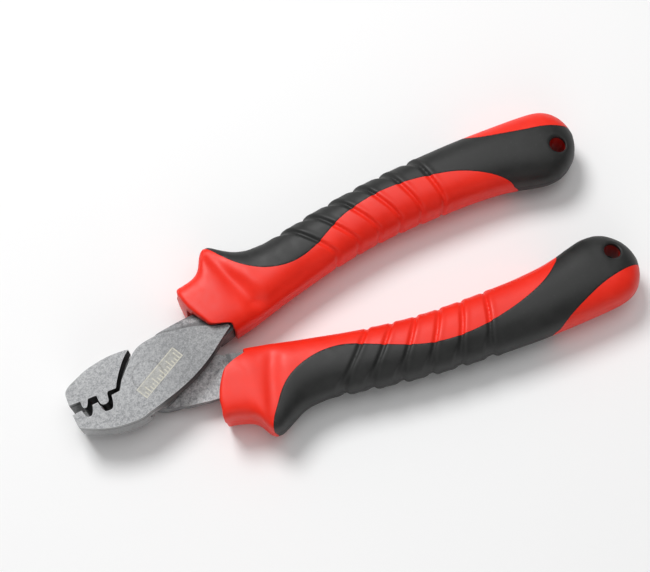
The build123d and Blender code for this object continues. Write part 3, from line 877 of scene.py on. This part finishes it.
def etched_scale(m, s):
    """Mask of the pale etched graduation: a plain frame with evenly spaced ticks."""
    half_length, half_width, border_width = 0.0072, 0.00180, 0.00030
    pitch = 0.00094
    tick_half = 0.19                                # share of the pitch
    tall_every, tall_share = 3, 0.34                # one tick in three is tall
    tick_top, tall_extra = -0.00035, 0.0011
    mapping = m.node("ShaderNodeMapping", {
        "Location": (0.00310, -0.00055, 0), "Rotation": (0, 0, math.radians(29.5)),
        "Vector": m.co}, vector_type="TEXTURE")
    x, y, _ = m.separate(mapping.outputs[0])
    size_x, size_y = m.size(x), m.size(y)
    inside = m.mul(m.less(size_x, half_length), m.less(size_y, half_width))
    core = m.mul(m.less(size_x, half_length - border_width),
                 m.less(size_y, half_width - border_width))
    border = m.sub(inside, core)
    phase = m.math("FRACT", m.mul(x, 1 / pitch))
    tick = m.less(m.size(m.sub(phase, 0.5)), tick_half)
    tall = m.math("FRACT", m.mul(x, 1 / (tall_every * pitch)))
    reach = m.add(m.mul(m.less(tall, tall_share), tall_extra), tick_top)
    ticks = m.mul(tick, core, m.less(y, reach))
    wear = m.grey_ramp(m.noise(scale=1500, detail=3, roughness=0.6), (0.32, 0.45), (0.55, 1))
    top = m.grey_ramp(s.normal_z, (0.8, 0), (0.95, 1))
    lines = m.mul(m.math("MAXIMUM", border, ticks), wear, top, 0.92)
    haze = m.mul(inside, top, 0.22)
    return m.math("MAXIMUM", lines, haze)


def steel_material(name, marked):
    m = Nodes(name)
    s = steel_masks(m)
    col = steel_grain(m, s)
    col = steel_oxide_and_painted_light(m, s, col, marked)
    col = steel_faces(m, s, col, marked)
    col = steel_edges(m, s, col)
    rough = m.grey_ramp(s.mottle, (0.3, 0.42), (0.7, 0.56))
    metal = 0.35
    if marked:
        etched = etched_scale(m, s)
        col = m.mix(etched, col, (0.60, 0.58, 0.49))
        rough = m.mix(etched, rough, (0.75,) * 3)
        metal = m.mul(m.invert(etched), metal)
    normal = m.bump(s.mottle, strength=0.35, distance=0.00006)
    normal = m.bump(s.grit, strength=0.45, distance=0.00004, normal=normal)
    return m.surface({"Base Color": col, "Roughness": rough, "Metallic": metal,
                      "Normal": normal})


def red_material():
    m = Nodes("moulded_red_plastic")
    cloud = m.noise(scale=60, detail=3, roughness=0.5)
    grain = m.noise(scale=3200, detail=4, roughness=0.6)
    ripple = m.noise(scale=420, detail=3, roughness=0.5)
    col = m.ramp(cloud, [(0.3, (0.800, 0.018, 0.006)), (0.7, (0.900, 0.024, 0.008))])
    col = m.mix(0.10, col, m.ramp(ripple, [(0.3, (0.66, 0.012, 0.004)),
                                           (0.7, (0.96, 0.034, 0.012))]))
    # the bore of the hanging hole is darker
    x, y, _ = m.separate(m.co)
    distance = m.radius(m.sub(x, HOLE_X * MM), m.sub(m.size(y), HOLE_Y * MM))
    bore = m.less(distance, (HOLE_RADIUS + 0.15) * MM)
    col = m.mix(m.mul(bore, 0.58), col, (0.120, 0.004, 0.003))
    normal = m.bump(ripple, strength=0.10, distance=0.00005)
    normal = m.bump(grain, strength=0.22, distance=0.00002, normal=normal)
    return m.surface({
        "Base Color": col, "Roughness": m.grey_ramp(ripple, (0.3, 0.39), (0.7, 0.49)),
        "Specular IOR Level": 0.36, "Subsurface Weight": 0.06,
        "Subsurface Radius": (0.0012, 0.0003, 0.0002), "Normal": normal})


def black_material():
    m = Nodes("soft_black_rubber")
    grain = m.noise(scale=2400, detail=5, roughness=0.65)
    ripple = m.noise(scale=300, detail=3, roughness=0.5)
    dust = m.grey_ramp(m.noise(scale=1100, detail=3, roughness=0.6), (0.60, 0), (0.78, 1))
    col = m.ramp(ripple, [(0.3, (0.013, 0.0135, 0.013)), (0.7, (0.020, 0.0205, 0.020))])
    col = m.mix(m.mul(dust, 0.25), col, (0.050, 0.051, 0.050))
    normal = m.bump(ripple, strength=0.12, distance=0.00006)
    normal = m.bump(grain, strength=0.45, distance=0.00003, normal=normal)
    return m.surface({
        "Base Color": col, "Roughness": m.grey_ramp(ripple, (0.3, 0.44), (0.7, 0.56)),
        "Specular IOR Level": 0.36, "Normal": normal})


def floor_material():
    m = Nodes("pale_floor")
    col = m.grey_ramp(m.noise(scale=3, detail=2, roughness=0.5), (0.3, 0.90), (0.7, 0.92))
    return m.surface({"Base Color": col, "Roughness": 0.9, "Specular IOR Level": 0.1})


def paint(material, objects):
    for ob in objects:
        ob.data.materials.clear()
        ob.data.materials.append(material)
        for polygon in ob.data.polygons:
            polygon.material_index = 0


marked_steel = steel_material("blasted_steel_marked", marked=True)
plain_steel = steel_material("blasted_steel_plain", marked=False)
paint(red_material(), cores)
paint(black_material(), skins)
paint(marked_steel, [nodes["forged_half_a"], nodes["pivot_rivet"]])
paint(plain_steel, [nodes["forged_half_b"]])

for name in ("forged_half_a", "forged_half_b"):
    weld = nodes[name].modifiers.new("weld", "WELD")
    weld.merge_threshold = 1e-6
    bevel = nodes[name].modifiers.new("edge_rounding", "BEVEL")
    bevel.width = 0.00022
    bevel.segments = 2
    bevel.limit_method = "ANGLE"
    bevel.angle_limit = SHARP_ANGLE
    bevel.use_clamp_overlap = True
    bevel.harden_normals = False


# --------------------------------------------------------------------- studio, m
def add_floor(half_size=3.0, gap=0.0002):
    s, z = half_size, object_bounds()[0].z - gap
    me = bpy.data.meshes.new("floor")
    me.from_pydata([(-s, -s, z), (s, -s, z), (s, s, z), (-s, s, z)], [], [[0, 1, 2, 3]])
    ob = link_object("floor", me)
    me.materials.append(floor_material())


def add_light(name, location, size, power, target=(0.054, 0.0, 0.005)):
    """Round area light aimed at the middle of the tool."""
    light = bpy.data.lights.new(name, "AREA")
    light.shape = "DISK"
    light.size = size
    light.energy = power
    ob = link_object(name, light)
    ob.location = location
    ob.rotation_mode = "QUATERNION"
    ob.rotation_quaternion = (Vector(target) - Vector(location)).to_track_quat("-Z", "Y")


def add_world():
    """Soft white sky, brightest above the +Y side."""
    world = bpy.data.worlds.new("soft_white")
    world.use_nodes = True
    tree = world.node_tree
    background = tree.nodes["Background"]
    coords = tree.nodes.new("ShaderNodeTexCoord")
    dot = tree.nodes.new("ShaderNodeVectorMath")
    dot.operation = "DOT_PRODUCT"
    dot.inputs[1].default_value = Vector((-0.15, 0.55, 0.82)).normalized()
    ramp = tree.nodes.new("ShaderNodeValToRGB")
    for element, position, level in zip(ramp.color_ramp.elements, (0.05, 1.0), (0.20, 0.75)):
        element.position = position
        element.color = (level, level, level, 1)
    tree.links.new(coords.outputs["Generated"], dot.inputs[0])
    tree.links.new(dot.outputs["Value"], ramp.inputs[0])
    tree.links.new(ramp.outputs[0], background.inputs[0])
    background.inputs["Strength"].default_value = 0.62
    bpy.context.scene.world = world


def add_camera():
    """Camera above the tool, placed by its angles and distance from a target."""
    azimuth, elevation, roll = (math.radians(a) for a in (-17.51, 71.11, -5.48))
    target = Vector((0.0514, 0.00593, LAP_Z * MM))
    distance = 0.4087
    back = Vector((math.sin(azimuth) * math.cos(elevation),
                   -math.cos(azimuth) * math.cos(elevation), math.sin(elevation)))
    eye = target + back * distance
    level_right = (-back).cross(Vector((0, 0, 1))).normalized()
    level_up = level_right.cross(-back)
    right = math.cos(roll) * level_right + math.sin(roll) * level_up
    up = -math.sin(roll) * level_right + math.cos(roll) * level_up
    cam = bpy.data.cameras.new("camera")
    cam.sensor_width = 36.0
    cam.sensor_fit = "HORIZONTAL"
    cam.lens = 86.172923
    cam.clip_start = 0.01
    cam.clip_end = 10
    ob = link_object("camera", cam)
    ob.matrix_world = Matrix((*zip(right, up, back, eye), (0, 0, 0, 1)))
    bpy.context.scene.camera = ob


add_floor()
add_light("key", location=(-0.04, 0.46, 0.68), size=0.34, power=4.6)
add_light("fill", location=(0.22, 0.05, 0.85), size=0.50, power=1.2)
add_light("low_front", location=(-0.10, -0.58, 0.30), size=0.50, power=0.7)
add_world()
bpy.context.scene.view_settings.view_transform = "Standard"
bpy.context.scene.view_settings.look = "None"
add_camera()
